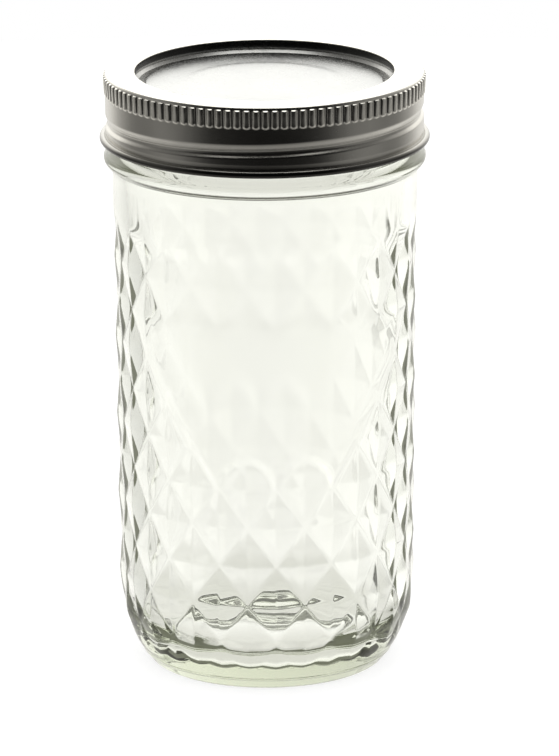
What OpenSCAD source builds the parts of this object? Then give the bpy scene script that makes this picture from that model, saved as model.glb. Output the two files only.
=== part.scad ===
// Canning jar with quilted glass and a two-piece screw cap.
// Millimetres, +Z up, origin at the centre of the foot, label panel facing -Y.

/* [Jar] */
// Height of the glass from the foot to the sealing rim
jar_h = 133.2; // [125:0.1:150]
// Outer radius of the glass just below the shoulder
body_r = 33.5; // [33.4:0.1:34]
// How much narrower the wall is at the heel than at the shoulder
body_taper = 0.7; // [0:0.1:1.5]
// Radius of the ring that the jar stands on
foot_r = 26; // [22:0.5:28]
// Height of the hollow under the base
push_up = 2.2; // [1:0.1:4]
// Thickness of the glass at the middle of the base
base_t = 3; // [2.5:0.1:7]
// Inner radius of the mouth
mouth_r = 30; // [28:0.1:30.4]

/* [Quilt] */
// Diamonds around the jar
diamonds = 16; // [12:1:20]
// Height of one diamond
diamond_h = 18; // [14:0.5:22]
// Height of the lowest groove crossing
quilt_z = 11.9; // [11:0.1:13]
// Depth of the grooves between the diamonds
groove_depth = 0.8; // [0.3:0.1:1.2]
// Label panels: 1 for the front only, 2 for front and back
panels = 2; // [0:1:2]

/* [Cap] */
// Outer radius of the band over its knurls
band_r = 35.5; // [35.5:0.1:36.5]
// Thickness of the band's sheet
sheet_t = 0.25; // [0.2:0.01:0.3]
// Radius of the opening in the band
opening_r = 28.5; // [24:0.5:29]
// Number of knurls
knurls = 108; // [60:4:140]
// Height of the knurls above the band's plain wall
knurl_depth = 0.45; // [0.2:0.05:0.45]
// Outer radius of the lid disc
lid_r = 34; // [33.8:0.05:34]
// Thickness of the lid's sheet
lid_t = 0.22; // [0.15:0.01:0.3]
// Depth of the lid's countersunk panel below the band's flange
lid_sink = 2.9; // [1.5:0.1:3.2]
// Thickness of the sealing compound
seal_t = 0.59; // [0.4:0.01:0.8]

/* [Thread] */
// Rise of the thread in one turn
pitch = 5.08; // [4:0.01:5.5]
// Radius of the finish under the thread
root_r = 33.4; // [33:0.05:33.6]
// Radius of the glass thread's crest
crest_r = 34.5; // [34.2:0.05:34.5]
// Radius inside the crest of the band's rolled thread
bead_r = 34.05; // [34.05:0.05:34.2]
// Play between the glass thread and the band's thread, along the axis
thread_play = 0.14; // [0.1:0.01:0.4]

/* [Hidden] */
$fn = 96;
gap = 0.02;           // closed fit between pieces that only rest on each other
sink = 0.4;           // how far an added shape is buried in the body it joins
front = 270;          // angle of -Y, where the label panel and the thread's middle are

// Levels of the cap, measured from the foot
seal_z = jar_h + gap;
rim_z = seal_z + seal_t;             // underside of the lid's rim
flange_z = rim_z + lid_t + gap;      // underside of the band's flange
top_z = flange_z + sheet_t;

// Levels below the flange's top
knurl_top = 0.6;
knurl_end = 5;
groove_drop = 10.2;                  // crest of the rolled thread, at the front
neck_start = 12.9;
neck_end = 13.7;
curl_r = 0.8;
curl_drop = 14.75;
neck_r = 34.95;
curl_x = neck_r - sheet_t + curl_r;
plain_r = band_r - knurl_depth - 0.03;
knurl_inner = plain_r - sheet_t;

// The bead rolled into the band: its flanks open outwards from the crest
bead_half = 0.45;
bead_up = 1.85;                      // extra reach of the upper flank over 1.02 mm of depth
bead_down = 0.9;                     // the same for the lower flank
flank_depth = 1.02;
bead_z = top_z - groove_drop;
bead_from = front - 110;
bead_to = front + 190;

// The glass thread rides on the upper flank of the bead
ridge_half = 0.4;
ridge_flank = 1.1;
ridge_z = bead_z + bead_half + bead_up * (crest_r - bead_r) / flank_depth
          + ridge_half + thread_play;
ridge_from = front - 120;
ridge_to = front + 315;

// The quilt's lattice: half a diamond to a column and to a row
columns = 2 * diamonds;
row_h = diamond_h / 2;
rows = 11;
quilt_low = 5;
quilt_top = 110;
panel_bottom = quilt_z + 2 * diamond_h;
panel_top = quilt_z + 4 * diamond_h;

// Radius of the wall over the quilt, narrowing gently towards the heel
function wall_r(z) = body_r - body_taper * pow((jar_h - 30 - z) / (jar_h - 30), 1.4);
// The heel's curve, from the foot up to the wall
heel_z = 20;
heel_power = 2.35;
function heel_r(z) = foot_r + (wall_r(heel_z) - foot_r) * (1 - pow(1 - z / heel_z, heel_power));
function outer_r(z) = z >= heel_z ? wall_r(min(z, jar_h - 30)) : heel_r(z);

function arc(cx, cz, r, a0, a1, n = 8) =
    [for (i = [0:n]) let (a = a0 + (a1 - a0) * i / n) [cx + r * cos(a), cz + r * sin(a)]];
function polar(r, a, z) = [r * cos(a), r * sin(a), z];

// A closed skin over rings of equal point count, lowest ring first
module skin(rings) {
    n = len(rings[0]);
    last = len(rings) - 1;
    points = [for (ring = rings) each ring];
    sides = [for (j = [0:last - 1], i = [0:n - 1])
        let (a = j * n + i, b = j * n + (i + 1) % n, c = b + n, d = a + n)
        each (i + j) % 2 == 1 ? [[a, d, c], [a, c, b]] : [[a, d, b], [b, d, c]]];
    floor_face = [for (i = [0:n - 1]) i];
    roof_face = [for (i = [n - 1:-1:0]) last * n + i];
    polyhedron(points, concat([floor_face], sides, [roof_face]), convexity = 6);
}

// A helical ridge: a trapezoid swept around the axis, sinking into its wall at both ends.
// foot and crest are radii; half widths are measured along the axis at each of them.
module helix(foot, crest, up, down, crest_up, crest_down, z_front, from, to, fade = 24) {
    step = 5;
    n = round((to - from) / step);
    side = sign(crest - foot);
    rings = [for (i = [0:n])
        let (a = from + (to - from) * i / n,
             t = min(1, (a - from) / fade, (to - a) / fade),
             z = z_front + pitch * (a - front) / 360,
             r = foot + (crest - foot) * t + side * 0.1 * (1 - t),
             u = up + (crest_up - up) * t,
             d = down + (crest_down - down) * t)
        [polar(foot, a, z - down), polar(r, a, z - d), polar(r, a, z + u), polar(foot, a, z + up)]];
    outward = side > 0;
    corners = 4;
    points = [for (ring = rings) each ring];
    quads = [for (j = [0:n - 1], i = [0:corners - 1])
        let (a = j * corners + i, b = j * corners + (i + 1) % corners, c = b + corners, d = a + corners)
        each outward ? [[a, b, c], [a, c, d]] : [[a, c, b], [a, d, c]]];
    start_cap = outward ? [3, 2, 1, 0] : [0, 1, 2, 3];
    end_cap = [for (i = outward ? [0:3] : [3:-1:0]) n * corners + i];
    polyhedron(points, concat([start_cap], quads, [end_cap]), convexity = 6);
}

// Faceted wall: low points where grooves cross, high points at the diamonds' middles
module quilt() {
    lattice = [for (j = [0:rows - 1]) quilt_z + row_h * j];
    levels = concat([quilt_low], lattice, [quilt_top]);
    rings = [for (k = [0:len(levels) - 1])
        let (z = levels[k], inside = k > 0 && k < len(levels) - 1)
        [for (i = [0:columns - 1])
            let (depth = !inside ? groove_depth / 4 : (i + k) % 2 == 1 ? groove_depth : 0)
            polar(outer_r(z) - depth, front + 360 * i / columns, z)]];
    skin(rings);
}

// Smooth label panel: straight top, sides along the grooves, two arches below
module panel(facing) {
    half_column = 180 / diamonds;
    function spot(c, z) = [body_r * sin(c * half_column), z];
    arch = [for (i = [-12:12]) let (t = abs(i) / 6 - 1)
        spot(i / 6, panel_bottom + 6 * sqrt(max(0, 1 - t * t)))];
    outline = concat(
        arch,
        [spot(2.6, panel_bottom + 0.7 * row_h), spot(4, panel_bottom + 2 * row_h),
         spot(4.7, panel_bottom + 2.8 * row_h), spot(4.9, panel_bottom + 3.3 * row_h),
         spot(4.6, panel_bottom + 3.8 * row_h), spot(3.9, panel_top)],
        [spot(-3.9, panel_top), spot(-4.6, panel_bottom + 3.8 * row_h),
         spot(-4.9, panel_bottom + 3.3 * row_h), spot(-4.7, panel_bottom + 2.8 * row_h),
         spot(-4, panel_bottom + 2 * row_h), spot(-2.6, panel_bottom + 0.7 * row_h)]);
    intersection() {
        cylinder(r = wall_r(panel_top) + 0.06, h = quilt_top);
        rotate([0, 0, facing]) rotate([90, 0, 0])
            translate([0, 0, mouth_r / 2]) linear_extrude(mouth_r) polygon(outline);
    }
}

// Heel and foot below the quilt
module heel() {
    ease = 0.3;
    curve = [for (i = [1:8]) let (z = ease + (quilt_low - ease) * i / 8) [heel_r(z), z]];
    rotate_extrude() polygon(concat([[0, 0], [foot_r - ease, 0], [foot_r, ease / 2]],
                                    curve, [[0, quilt_low]]));
}

// Shoulder, crease, transfer bead, finish and sealing rim above the quilt
module finish() {
    crease_z = jar_h - 19.7;
    transfer_r = 1.4;
    rotate_extrude() polygon(concat(
        [[0, quilt_top], [body_r, quilt_top], [body_r + 0.1, crease_z - 2],
         [body_r + 0.3, crease_z - 0.2], [body_r + 0.5, crease_z], [body_r + 0.9, crease_z + 0.25]],
        arc(body_r + 0.55, crease_z + 1.7, transfer_r, -58, 62),
        [[root_r + 0.25, jar_h - 15.2], [root_r, jar_h - 14.4], [root_r, jar_h - 1.4]],
        arc(root_r - 1.2, jar_h - 1.2, 1.2, 8, 90, 6),
        [[mouth_r, jar_h], [0, jar_h]]));
}

// Inside of the jar: rounded floor, straight wall, mouth bore and a slight flare under the rim
module cavity() {
    floor_z = push_up + base_t;
    inner_r = body_r - 3.3;
    corner = 12;
    flare = 0.3;
    rotate_extrude() polygon(concat(
        [[0, floor_z]],
        arc(inner_r - 0.3 - corner, floor_z + corner, corner, -90, 0, 10),
        [[inner_r, jar_h - 26], [mouth_r, jar_h - 20], [mouth_r, jar_h - 2.1]],
        arc(mouth_r + flare + 0.9, jar_h - 0.9, 0.9, 180, 100, 5),
        [[mouth_r + flare + 0.9, jar_h + 1], [0, jar_h + 1]]));
}

// Hollow under the base, inside the foot ring
module hollow() {
    hollow_r = foot_r - 2.2;
    dome_r = (pow(hollow_r, 2) + pow(push_up, 2)) / (2 * push_up);
    half = asin(hollow_r / dome_r);
    rotate_extrude() polygon(concat(
        [[0, -1], [hollow_r, -1]],
        arc(0, push_up - dome_r, dome_r, 90 - half, 90, 10)));
}

module glass_jar() {
    color([0.8, 0.88, 0.84, 0.45])
    difference() {
        union() {
            heel();
            quilt();
            finish();
            if (panels > 0) panel(0);
            if (panels > 1) panel(180);
            helix(root_r - sink, crest_r, ridge_half + ridge_flank, ridge_half + ridge_flank,
                  ridge_half, ridge_half, ridge_z, ridge_from, ridge_to);
        }
        cavity();
        hollow();
    }
}

// Rim with a turned-down edge, countersink wall, channel and a raised middle panel
module lid_disc() {
    edge_drop = 0.7;
    corner = 0.35;
    wall_r = opening_r + 0.35;
    channel_z = top_z - lid_sink;
    step_r = opening_r - 1.9;
    raise = 0.45;
    chamfer = 0.75;
    color([0.86, 0.86, 0.84])
    rotate_extrude() polygon(concat(
        [[0, channel_z + raise - lid_t], [step_r - 0.8, channel_z + raise - lid_t - 0.1],
         [step_r, channel_z - lid_t], [wall_r - 0.9, channel_z - lid_t],
         [wall_r + lid_t, channel_z + chamfer - 0.1], [wall_r + lid_t, rim_z],
         [lid_r - lid_t - 0.1, rim_z], [lid_r - lid_t, rim_z - 0.1],
         [lid_r - lid_t, rim_z - edge_drop], [lid_r, rim_z - edge_drop]],
        arc(lid_r - corner, rim_z + lid_t - corner, corner, 0, 90, 4),
        arc(wall_r + 0.3, rim_z + lid_t - 0.3, 0.3, 90, 180, 4),
        [[wall_r, channel_z + chamfer], [wall_r - 1, channel_z], [step_r + 0.1, channel_z],
         [step_r - 0.7, channel_z + raise - 0.1], [0, channel_z + raise]]));
}

// Compound cured into the channel under the lid's rim
module sealing_ring() {
    inner = mouth_r + 0.3;
    outer = lid_r - lid_t - 0.15;
    soft = 0.2;
    color([0.75, 0.45, 0.35])
    rotate_extrude() polygon(concat(
        [[inner, rim_z]],
        arc(inner + soft, seal_z + soft, soft, 180, 270, 4),
        arc(outer - soft, seal_z + soft, soft, 270, 360, 4),
        [[outer, rim_z]]));
}

// Knurled wall: flat-topped ribs that fade into the plain wall at their lower ends
module knurled_wall() {
    rib = 0.28;
    slope = 0.09;
    height = knurl_end - knurl_top;
    corners = [[-rib, 0], [rib, 0], [rib + slope, knurl_depth], [1 - rib - slope, knurl_depth]];
    outline = [for (i = [0:knurls - 1], c = corners)
        let (a = 360 * (i + c[0]) / knurls, r = band_r - c[1]) [r * cos(a), r * sin(a)]];
    translate([0, 0, top_z - knurl_end]) difference() {
        intersection() {
            linear_extrude(height) polygon(outline);
            rotate_extrude() polygon([[0, 0], [plain_r + 0.08, 0], [band_r + 0.01, height * 0.55],
                                      [band_r + 0.01, height + 1], [0, height + 1]]);
        }
        translate([0, 0, -1]) cylinder(r = knurl_inner, h = height + 2);
    }
}

// Flange and the rounded corner down to the knurls
module flange() {
    corner = 0.55;
    rotate_extrude() polygon(concat(
        [[opening_r, flange_z], [knurl_inner, flange_z], [knurl_inner, top_z - knurl_top]],
        arc(plain_r - corner, top_z - knurl_top, corner, 0, 90, 5),
        [[plain_r - corner - 0.1, top_z], [opening_r + 0.12, top_z], [opening_r, top_z - 0.12]]));
}

// Plain wall under the knurls, neck, and the hem that curls outwards
module skirt() {
    wall_top = top_z - knurl_end;
    rotate_extrude() polygon(concat(
        [[knurl_inner, wall_top], [knurl_inner, top_z - neck_start],
         [neck_r - sheet_t, top_z - neck_end]],
        arc(curl_x, top_z - curl_drop, curl_r, 180, 440, 18),
        arc(curl_x, top_z - curl_drop, curl_r - sheet_t, 440, 180, 18),
        [[neck_r, top_z - neck_end], [plain_r, top_z - neck_start], [plain_r, wall_top]]));
}

// Shape of the rolled thread at a given radius, for the bead inside and the groove outside
function reach(slope, r, lean) = bead_half + slope * (r - bead_r) / flank_depth - lean;

module rolled_thread(crest, foot, thin) {
    up_lean = thin * sheet_t * norm([bead_up, flank_depth]) / flank_depth;
    down_lean = thin * sheet_t * norm([bead_down, flank_depth]) / flank_depth;
    helix(foot, crest, reach(bead_up, foot, up_lean), reach(bead_down, foot, down_lean),
          reach(bead_up, crest, up_lean), reach(bead_down, crest, down_lean),
          bead_z, bead_from, bead_to);
}

module screw_band() {
    color([0.62, 0.61, 0.58])
    difference() {
        union() {
            flange();
            knurled_wall();
            skirt();
            rolled_thread(bead_r, plain_r - sheet_t + 0.06, 0);
        }
        rolled_thread(bead_r + sheet_t, band_r + 1, 1);
    }
}

glass_jar();
lid_disc();
sealing_ring();
screw_band();
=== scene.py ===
"""The canning jar's looks: finer glass, band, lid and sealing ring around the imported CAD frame."""
import math

import bpy
import numpy as np
from mathutils import Matrix, Vector


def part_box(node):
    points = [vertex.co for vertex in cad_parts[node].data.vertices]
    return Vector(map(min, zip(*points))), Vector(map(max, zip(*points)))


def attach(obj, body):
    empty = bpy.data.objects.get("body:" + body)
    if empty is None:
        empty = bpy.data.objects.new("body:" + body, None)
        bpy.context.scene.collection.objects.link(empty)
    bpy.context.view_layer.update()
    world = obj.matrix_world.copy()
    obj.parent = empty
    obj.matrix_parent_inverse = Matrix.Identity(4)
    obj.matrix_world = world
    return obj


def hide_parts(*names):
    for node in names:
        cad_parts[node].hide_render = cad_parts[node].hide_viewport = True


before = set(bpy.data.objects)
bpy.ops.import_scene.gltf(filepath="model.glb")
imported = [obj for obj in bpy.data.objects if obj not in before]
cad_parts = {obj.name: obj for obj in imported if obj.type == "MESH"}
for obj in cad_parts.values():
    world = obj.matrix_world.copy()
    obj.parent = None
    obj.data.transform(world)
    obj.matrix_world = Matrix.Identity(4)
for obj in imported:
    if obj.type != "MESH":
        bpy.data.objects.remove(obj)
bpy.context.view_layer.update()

# ---------------------------------------------------------------- sizes, in millimetres
MM = 0.001
FRONT = -math.pi / 2                       # the label panel faces -Y

lid_low, lid_high = (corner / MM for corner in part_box("lid_disc"))
seal_low, seal_high = (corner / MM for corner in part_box("sealing_ring"))

RIM_Z = (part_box("glass_jar")[1] / MM).z    # sealing rim of the glass
TOP_Z = (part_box("screw_band")[1] / MM).z   # top of the band's flange

# Glass body
BODY_R = 33.5
BODY_TAPER = 0.7
TAPER_TOP = RIM_Z - 30
FOOT_R = 26.0
HEEL_Z = 20.0
HEEL_POWER = 2.35
PUSH_UP = 2.2
HOLLOW_R = FOOT_R - 2.2
FLOOR_Z = 5.2
INNER_R = 30.2
INNER_CORNER = 12.0
MOUTH_R = 30.0
SEAM = 0.14                                # ridge where the mould's base plate met its walls
SEAM_Z = 2.6
SHOULDER_Z = RIM_Z - 22.5                  # top of the part of the wall that carries relief

# Quilt: a lattice of half columns and half rows
DIAMONDS = 16
HALF_ROW = 9.0
QUILT_Z = 11.9
QUILT_START = QUILT_Z - HALF_ROW * 3 / 4   # lowest ring of the quilt's mesh
GROOVE_DEPTH = 0.75
GROOVE_ROOT = 0.03                         # rounding of a groove, as a share of a diamond
RIDGE_EASE = 0.04                          # rounding of the ridges between facets, likewise
STEPS = 18                                 # mesh steps to half a diamond
GLASS_COLS = 2 * DIAMONDS * STEPS
PANELS = [(FRONT, 1.1), (FRONT + math.pi, 3.0)]    # facing, and half width of the softened edge
WAVE_DEPTH = 0.008                         # faint waves of moulded glass

# Threads: angles in degrees from the front, counterclockwise from above
PITCH = 5.08
ROOT_R = 33.4
CREST_R = 34.5
BEAD_R = 34.05
BEAD_HALF = 0.45
BEAD_UP = 1.85
FLANK_DEPTH = 1.02
GROOVE_DROP = 10.2                         # from the flange down to the band's rolled thread
RIDGE_HALF = 0.4
THREAD_PLAY = 0.14
RIDGE_ABOVE_BEAD = BEAD_HALF + BEAD_UP * (CREST_R - BEAD_R) / FLANK_DEPTH + RIDGE_HALF + THREAD_PLAY
RIDGE_SPAN = (-120, 315)
RIDGE_FADE = 24
BEAD_SPAN = (-110, 190)
BEAD_FADE = 26

# Band and lid
SHEET = 0.25
PLAIN_R = 35.02
KNURLS = 108
RIB_HEIGHT = 0.42
WALL_DROP = 13.0                           # from the flange down to the neck over the hem
LID_SHEET = 0.22
LID_COLS = 256

# Brightness of the tin by height, painted into its colour: painted shade on the hem, a painted highlight
# on the knurls, and painted shade on the lid's recess wall
BAND_PAINTED_LIGHT_AND_SHADE = [(TOP_Z - 14.8, 0.13), (TOP_Z - 13.5, 1.0), (TOP_Z - 5.0, 1.0), (TOP_Z - 4.5, 1.42)]
LID_PAINTED_SHADE = [(lid_low.z + 1.15, 1.0), (lid_low.z + 1.45, 0.14)]


# ---------------------------------------------------------------- numbers that shapes share
def smooth(low, high, x):
    """0 below low, 1 above high, and a smooth step between."""
    t = np.clip((x - low) / (high - low), 0, 1)
    return t * t * (3 - 2 * t)


def arc(cx, cz, r, start, end, n):
    """Points of an arc in the (radius, height) plane, angles in degrees, both ends included."""
    a = np.radians(np.linspace(start, end, n + 1))
    return [(cx + r * math.cos(x), cz + r * math.sin(x)) for x in a]


def line(start, end, n):
    """n points after start, ending at end."""
    return [(start[0] + (end[0] - start[0]) * i / n, start[1] + (end[1] - start[1]) * i / n)
            for i in range(1, n + 1)]


def wall_r(z):
    """Radius of the outer wall over the diamonds' tops, heel included."""
    z = np.asarray(z, float)
    drop = np.clip((TAPER_TOP - z) / TAPER_TOP, 0, 1)
    wall = BODY_R - BODY_TAPER * drop ** 1.4
    at_heel = BODY_R - BODY_TAPER * ((TAPER_TOP - HEEL_Z) / TAPER_TOP) ** 1.4
    rise = np.clip(z / HEEL_Z, 0, 1)
    heel = FOOT_R + (at_heel - FOOT_R) * (1 - (1 - rise) ** HEEL_POWER)
    return np.where(z >= HEEL_Z, wall, heel)


def tri(x):
    """Distance to the nearest even whole number, eased at the bottom so a groove has a round root."""
    d = np.abs((x + 1) % 2 - 1)
    return np.sqrt(d * d + GROOVE_ROOT ** 2) - GROOVE_ROOT


def quilt_height(theta, z):
    """0 in the grooves, 1 at the middle of a diamond: four flat facets meeting in crisp ridges."""
    u = (theta - FRONT) * DIAMONDS / math.pi
    v = (z - QUILT_Z) / HALF_ROW
    a, b = tri(u + v), tri(u - v)
    ridge = a + b - np.sqrt((a - b) ** 2 + RIDGE_EASE ** 2)
    return 0.5 * (ridge + RIDGE_EASE * np.minimum(a, b))


def panel_outline():
    """The label panels' edge, as (mm along the wall from the middle, height): two arches at the foot,
    sides that spread upwards, and a flat top."""
    half_diamond = math.pi / DIAMONDS * BODY_R
    low = QUILT_Z + 4 * HALF_ROW
    arch = 6.6
    arches = [(half_diamond * i / 6, low + arch * math.sqrt(max(0.0, 1 - (abs(i) / 6 - 1) ** 2)))
              for i in range(-12, 13)]
    side = [(2.6, 5.8), (3.4, 13.0), (4.2, 20.2), (4.75, 26.0), (4.95, 30.5), (4.6, 34.4), (3.8, 36.4)]
    right = [(half_diamond * across, low + up) for across, up in side]
    left = [(-x, z) for x, z in reversed(right)]
    return np.array(arches + right + left)


def inside_distance(outline, x, z):
    """Signed distance to a closed outline, positive inside."""
    best = np.full(x.shape, 1e9)
    inside = np.zeros(x.shape, bool)
    for (x0, z0), (x1, z1) in zip(outline, np.roll(outline, -1, 0)):
        dx, dz = x1 - x0, z1 - z0
        t = np.clip(((x - x0) * dx + (z - z0) * dz) / (dx * dx + dz * dz), 0, 1)
        best = np.minimum(best, np.hypot(x - x0 - t * dx, z - z0 - t * dz))
        if z0 != z1:
            crossing = ((z0 > z) != (z1 > z)) & (x < dx * (z - z0) / dz + x0)
            inside ^= crossing
    return np.where(inside, best, -best)


def helix_profile(theta, z, z_front, ends, fade, shape):
    """Height of a right-handed helical ridge: shape(distance along the axis), faded out at both ends.
    z_front is its height at the front."""
    turn = np.degrees(theta - FRONT) % 360
    out = np.zeros(np.broadcast(theta, z).shape)
    for lap in (-1, 0, 1):
        a = turn + 360 * lap
        t = smooth(0, fade, np.minimum(a - ends[0], ends[1] - a))
        out = np.maximum(out, t * shape(z - z_front - PITCH * a / 360))
    return out


def flanks(d, up, up_flat, down, down_flat):
    """1 on the flat of a ridge, falling to 0 at its upper and lower feet."""
    above = 1 - smooth(up_flat, up, d)
    below = 1 - smooth(down_flat, down, -d)
    return np.where(d > 0, above, below)


# ---------------------------------------------------------------- meshes
def lathe(name, theta, radius, height, closed):
    """A skin over rings given in mm as arrays (ring, column). closed joins the last ring to the first;
    otherwise the first and last rings are points on the axis."""
    rings, cols = radius.shape
    if not closed:
        ends = [(0, 0, height[0].mean()), (0, 0, height[-1].mean())]
        radius, height = radius[1:-1], height[1:-1]
        rings -= 2
    xyz = np.stack([radius * np.cos(theta), radius * np.sin(theta), height], -1).reshape(-1, 3)
    j, i = np.meshgrid(np.arange(rings if closed else rings - 1), np.arange(cols), indexing="ij")
    above, beside = (j + 1) % rings, (i + 1) % cols
    quads = np.stack([j * cols + i, j * cols + beside, above * cols + beside, above * cols + i], -1)
    faces = quads.reshape(-1, 4).tolist()
    if not closed:
        first, last = len(xyz), len(xyz) + 1
        xyz = np.concatenate([xyz, ends])
        top = (rings - 1) * cols
        faces += [(first, (k + 1) % cols, k) for k in range(cols)]
        faces += [(last, top + k, top + (k + 1) % cols) for k in range(cols)]
    mesh = bpy.data.meshes.new(name)
    mesh.from_pydata((xyz * MM).tolist(), [], faces)
    mesh.validate()
    mesh.shade_smooth()
    piece = bpy.data.objects.new(name, mesh)
    bpy.context.scene.collection.objects.link(piece)
    return piece


def columns(cols):
    return FRONT + 2 * np.pi * np.arange(cols) / cols


def profile_arrays(points, cols):
    """A section spread round the axis: angle, radius and height of every ring and column."""
    radius = np.repeat(np.array([p[0] for p in points])[:, None], cols, 1)
    height = np.repeat(np.array([p[1] for p in points])[:, None], cols, 1)
    return columns(cols)[None, :], radius, height


def glass_profile():
    """The glass's section, from the middle of the push-up out, up, over the rim and down inside."""
    dome_r = (HOLLOW_R ** 2 + PUSH_UP ** 2) / (2 * PUSH_UP)
    half = math.degrees(math.asin(HOLLOW_R / dome_r))
    under = arc(0, PUSH_UP - dome_r, dome_r, 90, 90 - half + 1.2, 20)
    foot = [(HOLLOW_R + 0.1, 0.35), (HOLLOW_R + 0.3, 0.1), (HOLLOW_R + 0.6, 0.0),
            (FOOT_R - 0.45, 0.0), (FOOT_R - 0.18, 0.06), (FOOT_R, 0.22)]
    heel = [(float(wall_r(z)) + SEAM * math.exp(-((z - SEAM_Z) / 0.3) ** 2), z)
            for z in np.linspace(0.45, QUILT_START, 40)[:-1]]
    wall = [(float(wall_r(z)), float(z)) for z in np.arange(QUILT_START, RIM_Z - 23.4, HALF_ROW / STEPS)]
    b = RIM_Z
    shoulder = [(33.5, b - 22.9), (33.53, b - 22.2), (33.58, b - 21.6), (33.64, b - 21.0),
                (33.7, b - 20.5), (33.76, b - 20.1), (33.83, b - 19.8), (34.0, b - 19.6),
                (34.4, b - 19.42)]
    bead = arc(34.05, b - 18.0, 1.4, -58, 62, 20)
    neck = [(34.2, b - 16.05), (33.8, b - 15.5), (33.55, b - 15.0), (33.43, b - 14.5)]
    finish = [(ROOT_R, float(z)) for z in np.arange(b - 14.1, b - 1.25, 0.2)]
    rim = arc(ROOT_R - 1.2, b - 1.2, 1.2, 4, 90, 9) + line((ROOT_R - 1.2, b), (MOUTH_R + 1.2, b), 3)
    rim += arc(MOUTH_R + 1.2, b - 0.9, 0.9, 90, 180, 8)[1:]
    inside = line((MOUTH_R + 0.3, b - 0.9), (MOUTH_R, b - 2.1), 3)
    inside += line((MOUTH_R, b - 2.1), (MOUTH_R, b - 20), 10)
    inside += line((MOUTH_R, b - 20), (INNER_R, b - 26), 6)
    corner_x, corner_z = INNER_R - 0.3 - INNER_CORNER, FLOOR_Z + INNER_CORNER
    inside += line((INNER_R, b - 26), (corner_x + INNER_CORNER, corner_z), 24)
    inside += arc(corner_x, corner_z, INNER_CORNER, 0, -90, 24)[1:]
    inside += line((corner_x, FLOOR_Z), (0, FLOOR_Z), 8)
    return under + foot + heel + wall + shoulder + bead + neck + finish + rim + inside


def glass_mesh():
    """The glass body: the lathed section with the quilt, label panels and thread pressed into it."""
    theta, radius, height = profile_arrays(glass_profile(), GLASS_COLS)
    z = height[:, :1]
    outside = (np.arange(len(z)) < np.argmax(z))[:, None]
    # quilt, faded out over the heel and under the shoulder
    reach = smooth(4.5, 10.5, z) * (1 - smooth(RIM_Z - 36, RIM_Z - 29.5, z))
    relief = GROOVE_DEPTH * (1 - quilt_height(theta, z)) * reach
    # smooth label panels, whose edges soften above their arches
    outline = panel_outline()
    low = outline[:, 1].min()
    for facing, soft in PANELS:
        turn = (theta - facing + np.pi) % (2 * np.pi) - np.pi
        inside = inside_distance(outline, turn * BODY_R + 0 * z, z + 0 * theta)
        ease = soft + 2.5 * smooth(low + 5, low + 14, z)
        relief = relief * (1 - smooth(-ease, ease, inside))
    waves = (np.sin(3 * theta + z / 5.1) + np.sin(7 * theta - z / 3.7 + 1.3)
             + np.sin(5 * theta + z / 2.9 + 4.0))
    relief = relief + (WAVE_DEPTH * (3 + waves) * smooth(10, 18, z)
                       * (1 - smooth(RIM_Z - 32, RIM_Z - 24, z)))
    radius = np.where(outside & (z < SHOULDER_Z), radius - relief, radius)
    # thread
    thread = helix_profile(theta, z, TOP_Z - GROOVE_DROP + RIDGE_ABOVE_BEAD, RIDGE_SPAN, RIDGE_FADE,
                           lambda d: flanks(d, 1.5, RIDGE_HALF, 1.5, RIDGE_HALF))
    on_finish = outside & (z > RIM_Z - 15.6)
    radius = np.where(on_finish, radius + (CREST_R - ROOT_R) * thread, radius)
    return lathe("glass_body", theta, radius, height, False)


def band_profile():
    """The band's section as a closed loop: over the flange, down the outside, back up the inside."""
    h = TOP_Z
    opening = band_opening()
    under = h - SHEET
    outer = [(opening, h - SHEET / 2), (opening + 0.04, h - 0.05), (opening + 0.12, h)]
    outer += line((opening + 0.12, h), (PLAIN_R - 0.65, h), 5)
    corner = arc(PLAIN_R - 0.6, h - 0.6, 0.6, 88, 0, 10)
    drops = np.concatenate([np.arange(0.64, 1.1, 0.045), np.arange(1.3, 4.0, 0.3),
                            np.arange(4.1, 5.5, 0.07), np.arange(5.6, 12.85, 0.1)])
    wall = [(PLAIN_R, h - float(d)) for d in drops]
    neck = [(35.0, h - 12.95), (34.98, h - 13.2), (34.95, h - 13.5), (34.93, h - 13.9)]
    curl = arc(35.5, h - 14.75, 0.8, 132, -180, 26)
    inside = [(34.7, h - 14.4), (34.7, h - 13.7), (34.75, h - 13.1)]
    back_up = np.concatenate([np.arange(12.85, 4.2, -0.2), np.arange(4.0, 1.1, -0.4),
                              np.arange(1.1, 0.8, -0.1)])
    inside += [(PLAIN_R - SHEET, h - float(d)) for d in back_up]
    inside += [(PLAIN_R - SHEET, under - 0.2), (PLAIN_R - SHEET - 0.25, under)]
    inside += line((PLAIN_R - SHEET - 0.25, under), (opening + 0.1, under), 4)
    return outer + corner + wall + neck + curl + inside


def band_opening():
    """Radius of the opening in the flange, read from the CAD band."""
    co = np.array([v.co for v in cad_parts["screw_band"].data.vertices], float) / MM
    flat = co[np.abs(co[:, 2] - TOP_Z) < 0.3]
    return float(np.hypot(flat[:, 0], flat[:, 1]).min())


def rib_shape(z):
    """For each height, the angles and relief of the columns that draw one knurl: a crowned top, steep
    flanks, a blunt head and a foot that closes like a drop. Angles are shares of the knurls' spacing."""
    down = TOP_Z - z
    half = 0.36 - 0.16 * smooth(4.2, 4.95, down)
    flank = 0.1
    top = half - flank
    angle = np.stack([-0.5 + 0 * z, -half, -half + flank / 2, -top, -top / 2, 0 * z,
                      top / 2, top, half - flank / 2, half], -1)
    crown = np.array([0, 0, 0.45, 0.75, 0.93, 1, 0.93, 0.75, 0.45, 0])
    tall = smooth(0.62, 0.92, down) * (1 - 0.3 * smooth(1.5, 4.4, down)) * (1 - smooth(4.5, 4.92, down))
    return angle, tall[:, None] * crown


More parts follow.
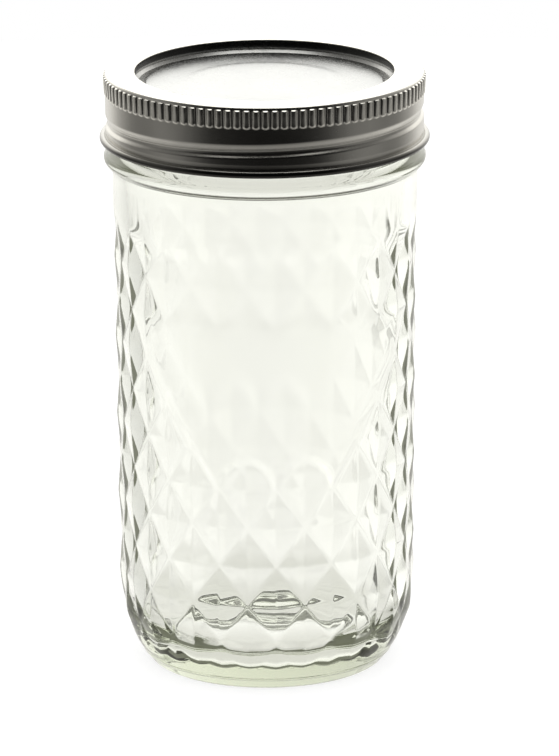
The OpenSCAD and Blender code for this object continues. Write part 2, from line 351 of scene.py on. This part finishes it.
def band_groove(theta, z):
    """The rolled-in thread, 1 at its deepest."""
    def shape(d):
        ripple = 0.10 * np.exp(-((d - 0.75) / 0.16) ** 2)
        return flanks(d, 2.25, 0.15, 1.15, 0.15) - ripple
    return helix_profile(theta, z, TOP_Z - GROOVE_DROP, BEAD_SPAN, BEAD_FADE, shape)


def band_mesh():
    """The screw band, with knurls raised on its skirt and the thread rolled into both faces of it."""
    points = band_profile()
    base = np.array([p[0] for p in points])[:, None]
    z = np.array([p[1] for p in points])[:, None]
    angle, ribs = rib_shape(z[:, 0])
    share = (np.arange(KNURLS)[:, None] + angle[:, None, :]).reshape(len(points), -1)
    theta = FRONT + 2 * np.pi * share / KNURLS
    ribs = np.tile(ribs, (1, KNURLS))
    wall = (z > TOP_Z - WALL_DROP) & (base > PLAIN_R - SHEET - 0.1)
    depth = (PLAIN_R - SHEET - BEAD_R) * band_groove(theta, z)
    threaded = np.where(wall & (z < TOP_Z - 4.8), depth, 0)
    radius = base + np.where(wall, RIB_HEIGHT * ribs, 0) - threaded
    return lathe("band", theta, radius, z + 0 * theta, True)


def lid_profile():
    """The lid's section from the middle of its top, over the rim and back along its underside."""
    z, rim, r = lid_low.z, lid_high.z, lid_high.x
    floor_z = z + LID_SHEET                    # floor of the recess round the raised panel
    wall = band_opening() + 0.35
    step = band_opening() - 1.9
    panel = floor_z + 0.45
    top = [(0, panel + 0.05), (8, panel + 0.05), (15.5, panel + 0.04), (16.6, panel)]
    top += [(17.6, panel - 0.08), (18.5, panel - 0.12), (21, panel - 0.13), (step - 1.6, panel - 0.14)]
    top += arc(step - 0.75, panel - 0.54, 0.4, 88, 40, 6)
    top += arc(step + 0.05, floor_z + 0.3, 0.3, 215, 268, 6)
    top += line((step + 0.2, floor_z), (wall - 1.05, floor_z), 3)
    top += arc(wall - 1.05, floor_z + 0.4, 0.4, -84, -60, 4)
    top += line(top[-1], (wall - 0.06, floor_z + 0.72), 6)
    top += arc(wall - 0.2, floor_z + 0.8, 0.2, -35, -4, 3)
    top += line((wall, floor_z + 0.84), (wall + 0.02, rim - 0.4), 4)
    top += arc(wall + 0.34, rim - 0.32, 0.32, 178, 92, 6)
    top += line((wall + 0.4, rim), (r - 0.36, rim), 4)
    top += arc(r - 0.35, rim - 0.35, 0.35, 88, 0, 6)
    edge = [(r, rim - 0.6), (r, rim - 0.88), (r - 0.03, rim - 0.92), (r - 0.19, rim - 0.92),
            (r - 0.22, rim - 0.88)]
    low = [(r - 0.22, rim - 0.35), (r - 0.3, rim - LID_SHEET), (wall + 0.45, rim - LID_SHEET)]
    low += [(wall + 0.24, rim - LID_SHEET - 0.15), (wall + 0.22, rim - 0.6)]
    low += [(wall + 0.2, floor_z + 0.6), (wall - 0.9, z), (step + 0.1, z), (step - 0.3, floor_z - 0.1)]
    low += [(step - 0.75, panel - 0.36), (18.5, panel - 0.34), (17.6, panel - 0.3)]
    low += [(16.6, panel - LID_SHEET), (15.5, panel - 0.18), (0, panel - 0.17)]
    return top + edge + low


def lid_mesh():
    return lathe("lid", *profile_arrays(lid_profile()[::-1], LID_COLS), False)


def seal_mesh():
    """The cured compound, with the shallow track that the glass rim presses into it."""
    low, high = seal_low.z, seal_high.z
    inner, outer = MOUTH_R + 0.3, seal_high.x
    soft = 0.2
    points = [(inner, high - 0.01)] + arc(inner + soft, low + soft, soft, 180, 270, 5)
    points += [(x, low + 0.04 * math.sin(math.pi * (x - 31) / 2) if 31 < x < 33 else low)
               for x in np.linspace(inner + 2 * soft, outer - 2 * soft, 16)]
    points += arc(outer - soft, low + soft, soft, 270, 360, 5) + [(outer, high - 0.01)]
    return lathe("seal", *profile_arrays(points, LID_COLS), True)


# ---------------------------------------------------------------- materials
def set_input(tree, shader, name, value):
    if isinstance(value, bpy.types.NodeSocket):
        tree.links.new(value, shader.inputs[name])
    else:
        shader.inputs[name].default_value = value


def node(tree, kind, **inputs):
    """A shader node with its inputs set by name, or by number as i0, i1 and so on; a socket links,
    anything else is a value."""
    made = tree.nodes.new(kind)
    for key, value in inputs.items():
        numbered = key[0] == "i" and key[1:].isdigit()
        set_input(tree, made, int(key[1:]) if numbered else key, value)
    return made


def ramp(tree, factor, stops):
    made = node(tree, "ShaderNodeValToRGB", Fac=factor)
    made.color_ramp.interpolation = "EASE"
    points = made.color_ramp.elements
    while len(points) < len(stops):
        points.new(0.5)
    for point, (place, colour) in zip(points, stops):
        point.position = place
        point.color = (*colour, 1)
    return made.outputs["Color"]


def maths(tree, operation, a, b=0.0):
    made = node(tree, "ShaderNodeMath", i0=a, i1=b)
    made.operation = operation
    return made.outputs[0]


def add(tree, a, b):
    return maths(tree, "ADD", a, b)


def grey_ramp(tree, factor, stops):
    """A ramp of warm greys; the last stops may be brighter than white."""
    peak = max(value for _, value in stops)
    scaled = [(place, (v / peak, v / peak * 0.985, v / peak * 0.95)) for place, v in stops]
    tint = node(tree, "ShaderNodeVectorMath", i0=ramp(tree, factor, scaled), i1=(peak, peak, peak))
    tint.operation = "MULTIPLY"
    return tint.outputs[0]


def mix(tree, factor, a, b):
    made = tree.nodes.new("ShaderNodeMix")
    made.data_type = "RGBA"
    for name, value in (("Factor", factor), ("A", a), ("B", b)):
        socket = [s for s in made.inputs if s.name == name and (s.type == "RGBA" or name == "Factor")][0]
        if isinstance(value, bpy.types.NodeSocket):
            tree.links.new(value, socket)
        else:
            socket.default_value = value
    return [s for s in made.outputs if s.type == "RGBA"][0]


def new_material(name):
    material = bpy.data.materials.new(name)
    material.use_nodes = True
    tree = material.node_tree
    tree.nodes.clear()
    out = tree.nodes.new("ShaderNodeOutputMaterial")
    shader = tree.nodes.new("ShaderNodeBsdfPrincipled")
    tree.links.new(shader.outputs[0], out.inputs["Surface"])
    return material, tree, shader, out


def object_coordinates(tree, scale=(1, 1, 1)):
    place = tree.nodes.new("ShaderNodeTexCoord").outputs["Object"]
    return node(tree, "ShaderNodeMapping", Vector=place, Scale=scale).outputs[0]


def noise(tree, vector, scale, detail=3.0):
    return node(tree, "ShaderNodeTexNoise", Vector=vector, Scale=scale, Detail=detail).outputs["Fac"]


def bump(tree, height, distance, strength=1.0):
    return node(tree, "ShaderNodeBump", Height=height, Distance=distance, Strength=strength).outputs[0]


def glass_material():
    """Clear soda-lime glass: green only through thickness, and a breath of haze in patches. Light
    that has turned round inside many times ends as the olive glow of a thick edge instead of as black."""
    material, tree, shader, out = new_material("moulded_glass")
    set_input(tree, shader, "Base Color", (1, 1, 1, 1))
    set_input(tree, shader, "Transmission Weight", 1.0)
    set_input(tree, shader, "IOR", 1.52)
    where = object_coordinates(tree)
    haze = noise(tree, where, 300.0, 3.0)
    set_input(tree, shader, "Roughness", maths(tree, "MULTIPLY", haze, 0.004))
    tint = node(tree, "ShaderNodeVolumeAbsorption", Color=(0.745, 0.770, 0.66, 1), Density=34.0)
    tree.links.new(tint.outputs[0], out.inputs["Volume"])
    paths = tree.nodes.new("ShaderNodeLightPath")
    trapped = maths(tree, "GREATER_THAN", paths.outputs["Glossy Depth"], 4.5)
    spent = maths(tree, "GREATER_THAN", paths.outputs["Ray Depth"], 12.5)
    incoming = tree.nodes.new("ShaderNodeNewGeometry").outputs["Incoming"]
    heading = node(tree, "ShaderNodeVectorTransform", Vector=incoming)
    heading.vector_type = "VECTOR"
    heading.convert_from, heading.convert_to = "WORLD", "CAMERA"
    back = node(tree, "ShaderNodeSeparateXYZ", Vector=heading.outputs[0]).outputs["Z"]
    ahead = add(tree, maths(tree, "MULTIPLY", back, -0.5), 0.5)
    glow = ramp(tree, ahead, [(0.1, (0.008, 0.008, 0.004)), (0.45, (0.045, 0.047, 0.032)),
                              (0.9, (0.24, 0.245, 0.20))])
    set_input(tree, shader, "Emission Color", glow)
    set_input(tree, shader, "Emission Strength", maths(tree, "MAXIMUM", trapped, spent))
    material.cycles.emission_sampling = "NONE"
    return material


def painted_light_by_height(tree, height, stops):
    """A grey factor that changes with height, from stops of (mm, factor): painted light and shade to
    multiply into a colour.
    """
    low, high = stops[0][0], stops[-1][0]
    peak = max(factor for _, factor in stops)
    place = node(tree, "ShaderNodeMapRange", Value=height, i1=low * MM, i2=high * MM).outputs[0]
    greys = [((z - low) / (high - low), (factor / peak,) * 3) for z, factor in stops]
    scaled = node(tree, "ShaderNodeVectorMath", i0=ramp(tree, place, greys))
    scaled.operation = "SCALE"
    scaled.inputs["Scale"].default_value = peak
    return scaled.outputs[0]


def tinplate_material(name, light, dark, rough, grain, painted_light_stops):
    """Satin tinplate: rolling grain, faint blotches in the tin, and fine scuffs. The last argument gives
    stops of (mm, factor) of painted light and shade: a painted highlight where the factor is above 1,
    painted shade below it."""
    material, tree, shader, _ = new_material(name)
    where = object_coordinates(tree)
    blotch = noise(tree, where, 90.0, 4.0)
    set_input(tree, shader, "Metallic", 1.0)
    colour = ramp(tree, blotch, [(0.3, dark), (0.7, light)])
    # painted light and shade: the colour is multiplied by a factor that changes with height
    height = node(tree, "ShaderNodeSeparateXYZ", Vector=where).outputs["Z"]
    colour_with_painted_light = node(tree, "ShaderNodeVectorMath", i0=colour, i1=painted_light_by_height(tree, height, painted_light_stops))
    colour_with_painted_light.operation = "MULTIPLY"
    set_input(tree, shader, "Base Color", colour_with_painted_light.outputs[0])
    streaks = noise(tree, object_coordinates(tree, (60, 60, grain)), 12.0, 3.0)
    fine = noise(tree, where, 2500.0, 2.0)
    worn = add(tree, maths(tree, "MULTIPLY", streaks, 0.10), maths(tree, "MULTIPLY", blotch, 0.06))
    set_input(tree, shader, "Roughness", add(tree, worn, rough))
    set_input(tree, shader, "Normal", bump(tree, add(tree, fine, streaks), 0.000006, 0.3))
    return material


def compound_material():
    """Brick-red sealing compound, mottled and slightly glossy."""
    material, tree, shader, _ = new_material("sealing_compound")
    where = object_coordinates(tree)
    mottled = noise(tree, where, 400.0, 4.0)
    colour = ramp(tree, mottled, [(0.3, (0.30, 0.10, 0.055)), (0.7, (0.42, 0.17, 0.10))])
    set_input(tree, shader, "Base Color", colour)
    set_input(tree, shader, "Roughness", add(tree, maths(tree, "MULTIPLY", mottled, 0.2), 0.4))
    set_input(tree, shader, "Normal", bump(tree, mottled, 0.00003, 0.5))
    return material


def floor_material():
    """White paper sweep: lit paper plus a little light of its own, so it stays white around the jar."""
    material, tree, shader, _ = new_material("white_sweep")
    where = object_coordinates(tree)
    fibre = noise(tree, where, 900.0, 3.0)
    colour = ramp(tree, fibre, [(0.3, (0.33, 0.33, 0.33)), (0.7, (0.37, 0.37, 0.37))])
    set_input(tree, shader, "Base Color", colour)
    set_input(tree, shader, "Roughness", 0.9)
    set_input(tree, shader, "Specular IOR Level", 0.0)
    set_input(tree, shader, "Emission Color", (1, 1, 1, 1))
    set_input(tree, shader, "Emission Strength", 0.78)
    return material


# ---------------------------------------------------------------- studio
def span(tree, value, start, end):
    """0 at start and before it, 1 at end and past it."""
    return node(tree, "ShaderNodeMapRange", Value=value, i1=start, i2=end).outputs[0]


def mirrored_light(tree, right, up, ahead, steep):
    """What polished metal sees: grey sides that brighten behind, the floor, and a softbox overhead."""
    side = grey_ramp(tree, ahead, [(0.05, 0.006), (0.14, 0.010), (0.2, 0.03), (0.26, 0.11),
                                   (0.36, 0.21), (0.46, 0.24), (0.6, 0.19), (0.7, 0.22),
                                   (0.8, 0.42), (0.95, 1.0)])
    below = grey_ramp(tree, ahead, [(0.1, 0.05), (0.3, 0.22), (0.5, 0.38), (0.6, 0.52), (0.7, 0.68),
                                    (0.9, 1.0)])
    above = grey_ramp(tree, ahead, [(0.2, 0.01), (0.4, 0.14), (0.55, 0.2), (0.7, 0.5), (0.82, 1.5),
                                    (1.0, 1.66)])
    raised = span(tree, up, 0.1, 0.5)
    narrow = span(tree, maths(tree, "ABSOLUTE", right), 0.45, 0.25)
    over = span(tree, ahead, 0.28, 0.32)
    softbox = maths(tree, "MULTIPLY", maths(tree, "MULTIPLY", narrow, over), raised)
    around = mix(tree, raised, mix(tree, steep, side, below), above)
    return mix(tree, softbox, around, (1.66, 1.66, 1.62, 1))


def light_through_glass(tree, right, up, ahead, steep):
    """What shows through the glass: white behind and below, olive where rays turn far round."""
    through = tree.nodes.new("ShaderNodeVectorMath")
    through.operation = "SCALE"
    tree.links.new(ramp(tree, ahead, [(0.05, (0.10, 0.11, 0.05)), (0.2, (0.28, 0.30, 0.18)),
                                      (0.35, (0.55, 0.57, 0.45)), (0.5, (0.80, 0.82, 0.73)),
                                      (0.7, (0.92, 0.925, 0.87)), (0.97, (1.0, 1.0, 0.95))]),
                   through.inputs[0])
    through.inputs["Scale"].default_value = 1.10
    slope = add(tree, maths(tree, "MULTIPLY", right, 0.25), maths(tree, "MULTIPLY", up, 0.25))
    shaded = node(tree, "ShaderNodeVectorMath", i0=through.outputs[0], i1=add(tree, slope, 1.0))
    shaded.operation = "MULTIPLY"
    return mix(tree, steep, shaded.outputs[0], (0.84, 0.84, 0.78, 1))


def studio_world():
    """A white studio with a dark camera side: reflections and refractions see the dark only where
    they turn back towards the camera, wherever the camera stands."""
    world = bpy.data.worlds.new("studio")
    bpy.context.scene.world = world
    world.use_nodes = True
    tree = world.node_tree
    tree.nodes.clear()
    towards = tree.nodes.new("ShaderNodeTexCoord").outputs["Camera"]
    unit = node(tree, "ShaderNodeVectorMath", i0=towards)
    unit.operation = "NORMALIZE"
    split = node(tree, "ShaderNodeSeparateXYZ", Vector=unit.outputs[0])
    right, up = split.outputs["X"], split.outputs["Y"]
    ahead = add(tree, maths(tree, "MULTIPLY", split.outputs["Z"], 0.5), 0.5)
    direction = tree.nodes.new("ShaderNodeTexCoord").outputs["Generated"]
    steep = span(tree, node(tree, "ShaderNodeSeparateXYZ", Vector=direction).outputs["Z"], -0.3, -0.6)
    mirrored = mirrored_light(tree, right, up, ahead, steep)
    shown = light_through_glass(tree, right, up, ahead, steep)
    paths = tree.nodes.new("ShaderNodeLightPath")
    inside_glass = maths(tree, "GREATER_THAN", paths.outputs["Transmission Depth"], 0.5)
    seen = mix(tree, inside_glass, mirrored, shown)
    plain = maths(tree, "MAXIMUM", paths.outputs["Is Camera Ray"], paths.outputs["Is Diffuse Ray"])
    colour = mix(tree, plain, seen, (1.0, 1.0, 1.0, 1))
    shine = node(tree, "ShaderNodeBackground", Color=colour, Strength=1.0)
    out = tree.nodes.new("ShaderNodeOutputWorld")
    tree.links.new(shine.outputs[0], out.inputs["Surface"])


def floor():
    """A round sheet that only the camera and diffuse light see, so that the jar mirrors the studio."""
    radius, corners = 0.6, 96
    mesh = bpy.data.meshes.new("floor")
    turns = np.linspace(0, 2 * math.pi, corners, endpoint=False)
    edge = [(radius * math.cos(a), radius * math.sin(a), 0) for a in turns]
    mesh.from_pydata(edge, [], [list(range(corners))])
    mesh.materials.append(floor_material())
    made = bpy.data.objects.new("floor", mesh)
    bpy.context.scene.collection.objects.link(made)
    made.visible_glossy = False
    made.visible_transmission = False


def camera():
    """Seen from the front, slightly left, 16 degrees above the middle of the jar."""
    azimuth, elevation, distance = math.radians(-3.6), math.radians(16.14), 1.5
    target = Vector((0, 0, 0.065))
    back = Vector((math.sin(azimuth) * math.cos(elevation), -math.cos(azimuth) * math.cos(elevation),
                   math.sin(elevation)))
    data = bpy.data.cameras.new("camera")
    made = bpy.data.objects.new("camera", data)
    bpy.context.scene.collection.objects.link(made)
    made.location = target + back * distance
    roll = Matrix.Rotation(math.radians(-0.3), 4, back)
    made.rotation_mode = "QUATERNION"
    made.rotation_quaternion = roll.to_quaternion() @ (-back).to_track_quat("-Z", "Y")
    data.lens = 321.6
    data.shift_x = 0.0179
    data.shift_y = -0.0064
    data.clip_start, data.clip_end = 0.1, 20
    bpy.context.scene.camera = made


# ---------------------------------------------------------------- the object
def finish_piece(piece, material, body, stands_for):
    piece.data.materials.append(material)
    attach(piece, body)
    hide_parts(stands_for)


finish_piece(glass_mesh(), glass_material(), "jar", "glass_jar")
# the band's colour carries painted shade on the hem and a painted highlight on the knurls
finish_piece(band_mesh(),
             tinplate_material("band_tinplate", (0.66, 0.645, 0.60), (0.60, 0.585, 0.54),
                               rough=0.16, grain=600, painted_light_stops=BAND_PAINTED_LIGHT_AND_SHADE),
             "band", "screw_band")
# the lid's colour carries painted shade on its recess wall, under the band's flange
finish_piece(lid_mesh(),
             tinplate_material("lid_tinplate", (0.57, 0.57, 0.555), (0.53, 0.53, 0.52),
                               rough=0.18, grain=60, painted_light_stops=LID_PAINTED_SHADE),
             "lid", "lid_disc")
finish_piece(seal_mesh(), compound_material(), "lid", "sealing_ring")

studio_world()
floor()
camera()
bpy.context.scene.view_settings.view_transform = "Standard"
